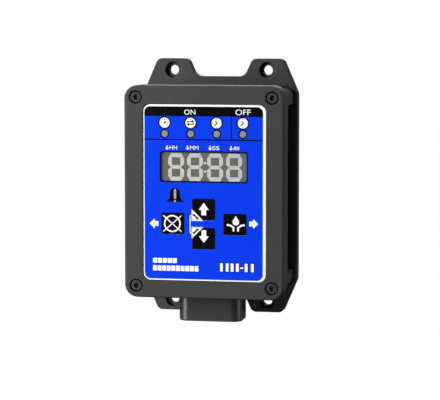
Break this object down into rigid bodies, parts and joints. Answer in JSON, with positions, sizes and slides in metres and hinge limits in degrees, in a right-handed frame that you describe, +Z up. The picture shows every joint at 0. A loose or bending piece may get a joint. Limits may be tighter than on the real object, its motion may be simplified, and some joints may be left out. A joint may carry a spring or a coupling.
{
  "type": "wall mount controller",
  "caption": "Wall-mounted electronic timer controller: dark moulded box with eared flange, blue keypad panel with digit display, and a plug port below.",
  "frame": {"origin": "centre of the four wall holes, on the flange's back face", "axes": "+Z up, +X to the viewer's right, the front panel faces -Y"},
  "size_m": [0.082, 0.05, 0.1343],
  "materials": {
    "housing_plastic": "fine-textured dark grey moulded nylon",
    "seal_rubber": "black silicone rubber",
    "black_screws": "black oxide steel",
    "insert_brass": "knurled brass",
    "overlay_film": "blue printed polyester film, satin",
    "clear_film": "clear polyester window",
    "lamp_film": "translucent grey window film",
    "black_plastic": "black moulded plastic",
    "tinned_metal": "tinned contact metal",
    "display_segment": "milky segment windows",
    "display_grey": "grey display face",
    "lamp_resin": "clear lamp resin",
    "board_laminate": "green solder mask on laminate",
    "plated_screws": "zinc plated steel",
    "crystal_can": "steel crystal can",
    "relay_case": "blue relay case",
    "can_sleeve": "printed sleeve on an aluminium can",
    "ferrite": "dark ferrite",
    "fuse_glass": "glass fuse tube with plated caps",
    "clip_metal": "plated spring clips",
    "cell_steel": "steel coin cell",
    "connector_plastic": "dark grey glass-filled plastic",
    "contact_pins": "gold flashed contact pins",
    "key_plastic": "black key face with white print"
  },
  "bodies": {
    "root": {"base_housing": "housing_plastic", "lid": "housing_plastic", "lid_gasket": "seal_rubber", "lid_screws": "black_screws", "lid_inserts": "insert_brass", "graphic_overlay": "overlay_film", "display_window": "clear_film", "led_windows": "lamp_film", "alarm_window": "lamp_film", "switch_bodies": "black_plastic", "switch_domes": "tinned_metal", "switch_legs": "tinned_metal", "display_segments": "display_segment", "display_module": "display_grey", "display_pins": "tinned_metal", "status_leds": "lamp_resin", "alarm_led": "lamp_resin", "led_leads": "tinned_metal", "front_board": "board_laminate", "front_board_screws": "plated_screws", "main_board": "board_laminate", "main_board_screws": "plated_screws", "link_header": "black_plastic", "link_pins": "tinned_metal", "link_socket": "black_plastic", "microcontroller": "black_plastic", "microcontroller_leads": "tinned_metal", "clock_crystal": "crystal_can", "output_relay": "relay_case", "relay_pins": "tinned_metal", "filter_capacitors": "can_sleeve", "voltage_regulator": "black_plastic", "filter_choke": "ferrite", "fuse": "fuse_glass", "fuse_clips": "clip_metal", "cell_holder": "black_plastic", "clock_cell": "cell_steel", "alarm_buzzer": "black_plastic", "surge_diodes": "black_plastic", "connector_header": "connector_plastic", "connector_seal": "seal_rubber", "connector_pins": "contact_pins"},
    "up_key": {"key_up_cap": "key_plastic", "key_up_stem": "black_plastic"},
    "down_key": {"key_down_cap": "key_plastic", "key_down_stem": "black_plastic"},
    "left_key": {"key_left_cap": "key_plastic", "key_left_stem": "black_plastic"},
    "right_key": {"key_right_cap": "key_plastic", "key_right_stem": "black_plastic"}
  },
  "joints": [
    {"name": "up_key_press", "type": "slide", "parent": "root", "child": "up_key", "axis": [0, 1, 0], "range_m": [0, 0.0004], "stiffness_N_per_m": 400, "springref_m": -0.003},
    {"name": "down_key_press", "type": "slide", "parent": "root", "child": "down_key", "axis": [0, 1, 0], "range_m": [0, 0.0004], "stiffness_N_per_m": 400, "springref_m": -0.003},
    {"name": "left_key_press", "type": "slide", "parent": "root", "child": "left_key", "axis": [0, 1, 0], "range_m": [0, 0.0004], "stiffness_N_per_m": 400, "springref_m": -0.003},
    {"name": "right_key_press", "type": "slide", "parent": "root", "child": "right_key", "axis": [0, 1, 0], "range_m": [0, 0.0004], "stiffness_N_per_m": 400, "springref_m": -0.003}
  ]
}
